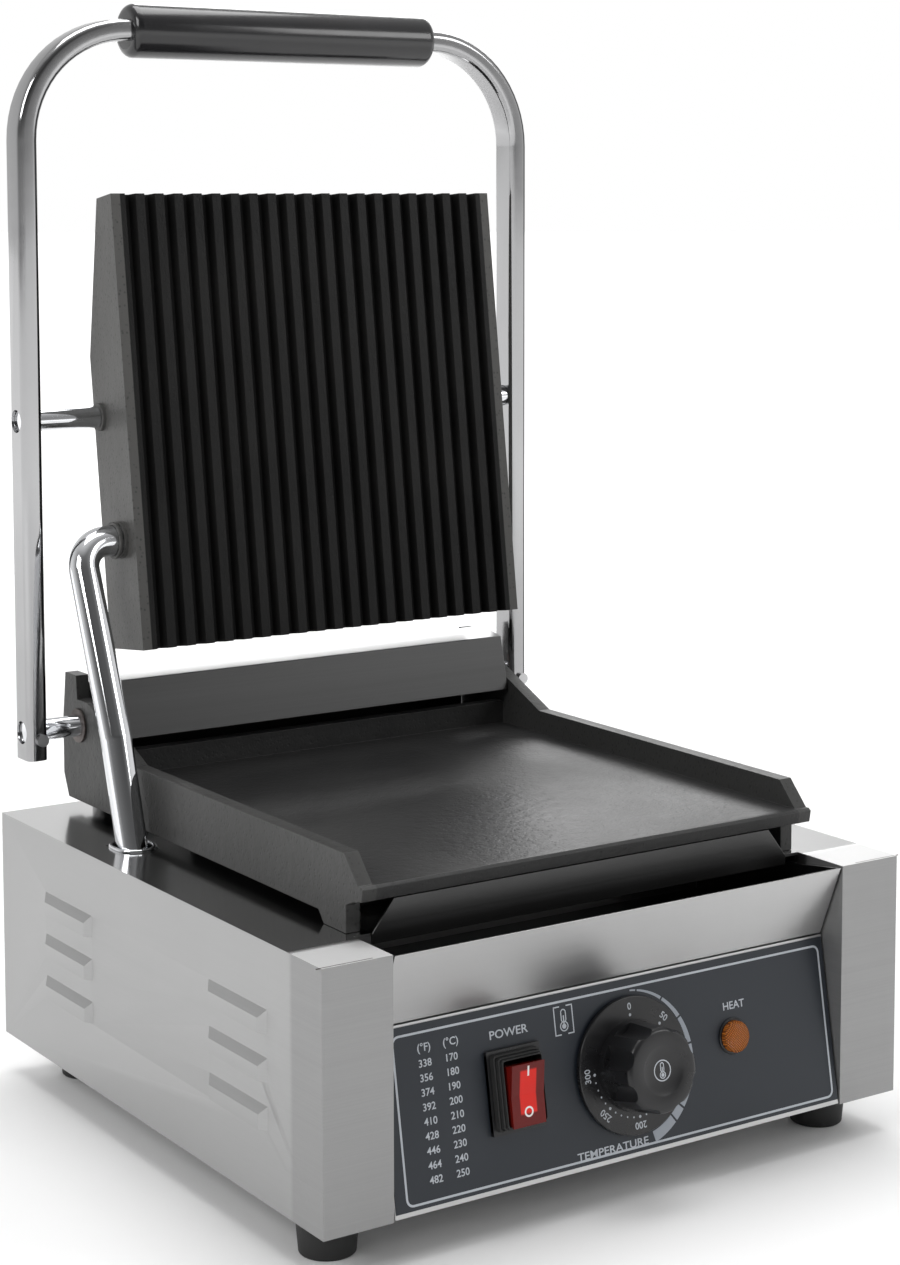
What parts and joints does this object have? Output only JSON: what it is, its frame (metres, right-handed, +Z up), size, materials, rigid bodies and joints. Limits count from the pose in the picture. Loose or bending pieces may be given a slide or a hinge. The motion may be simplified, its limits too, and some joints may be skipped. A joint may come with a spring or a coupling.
{
  "type": "panini press",
  "caption": "Contact grill with a ribbed upper plate hung in a tall swinging arch handle, a flat lower plate, a drip tray and a sloping control panel.",
  "frame": {"origin": "middle of the overall box, on the plane that the feet stand on", "axes": "+X to the object's right as its user faces the controls from the front, +Y to the back, +Z up"},
  "size_m": [0.2958, 0.3107, 0.4974],
  "materials": {
    "brushed_sheet": "satin",
    "chrome": "polished",
    "zinc": "plated",
    "cast_iron": "seasoned, slightly rough",
    "element_sheath": "heat darkened",
    "black_rubber": "matt",
    "black_plastic": "satin",
    "pale_plastic": "matt",
    "printed_film": "printed film",
    "red_plastic": "gloss",
    "amber_plastic": "gloss",
    "mineral_wool": "fibre mat"
  },
  "bodies": {
    "body": {"back_panel": "brushed_sheet", "back_screws": "zinc", "body_shell": "brushed_sheet", "bottom_plate": "brushed_sheet", "control_panel": "brushed_sheet", "cord_gland": "black_plastic", "counter_springs": "zinc", "cover_screws": "zinc", "element_clamp": "brushed_sheet", "feet": "black_rubber", "foot_screws": "zinc", "griddle_nuts": "zinc", "griddle_spacers": "zinc", "lamp_holder": "black_plastic", "lamp_lens": "amber_plastic", "lower_element": "element_sheath", "lower_griddle": "cast_iron", "panel_overlay": "printed_film", "rear_cover": "brushed_sheet", "sensor_line": "zinc", "shaft_bushes": "zinc", "splash_plate": "brushed_sheet", "switch_boot": "black_rubber", "switch_housing": "black_plastic", "terminal_block": "pale_plastic", "thermostat_body": "black_plastic", "tray_shelf": "brushed_sheet", "tube_grommet": "chrome"},
    "handle": {"handle_arch": "chrome", "grip": "black_plastic", "pivot_shaft": "chrome", "lock_screws": "zinc"},
    "press_plate": {"upper_griddle": "cast_iron", "upper_cover": "brushed_sheet", "upper_cover_screws": "zinc", "cross_pins": "chrome", "upper_element": "element_sheath", "insulation_mat": "mineral_wool"},
    "conduit": {"conduit_tube": "chrome", "conduit_collar": "chrome"},
    "tray": {"drip_tray": "brushed_sheet"},
    "knob": {"temperature_knob": "black_plastic", "dial_skirt": "black_plastic", "thermostat_spindle": "zinc"},
    "rocker_key": {"rocker": "red_plastic"}
  },
  "joints": [
    {"name": "handle_swing", "type": "hinge", "parent": "body", "child": "handle", "pos_m": [0, 0.1344, 0.164], "axis": [1, 0, 0], "range_deg": [0, 83.8]},
    {"name": "plate_tilt", "type": "hinge", "parent": "handle", "child": "press_plate", "pos_m": [0, 0.1344, 0.3075], "axis": [1, 0, 0], "range_deg": [0, 12.57]},
    {"name": "tube_swivel", "type": "hinge", "parent": "press_plate", "child": "conduit", "pos_m": [-0.1, 0.11244, 0.25257], "axis": [1, 0, 0], "range_deg": [-54.05, 0]},
    {"name": "tray_slide", "type": "slide", "parent": "body", "child": "tray", "axis": [0, -1, 0], "range_m": [0, 0.08]},
    {"name": "knob_turn", "type": "hinge", "parent": "body", "child": "knob", "pos_m": [0.0048, -0.13055, 0.05513], "axis": [0, -0.9848, 0.1736], "range_deg": [-300, 0]},
    {"name": "rocker_tilt", "type": "hinge", "parent": "body", "child": "rocker_key", "pos_m": [-0.0535, -0.13172, 0.05716], "axis": [1, 0, 0], "range_deg": [-14, 0]}
  ],
  "couplings": [
    {"joint": "plate_tilt", "follows": "handle_swing", "ratio": 0.14994},
    {"joint": "tube_swivel", "follows": "handle_swing", "ratio": -0.6449}
  ]
}
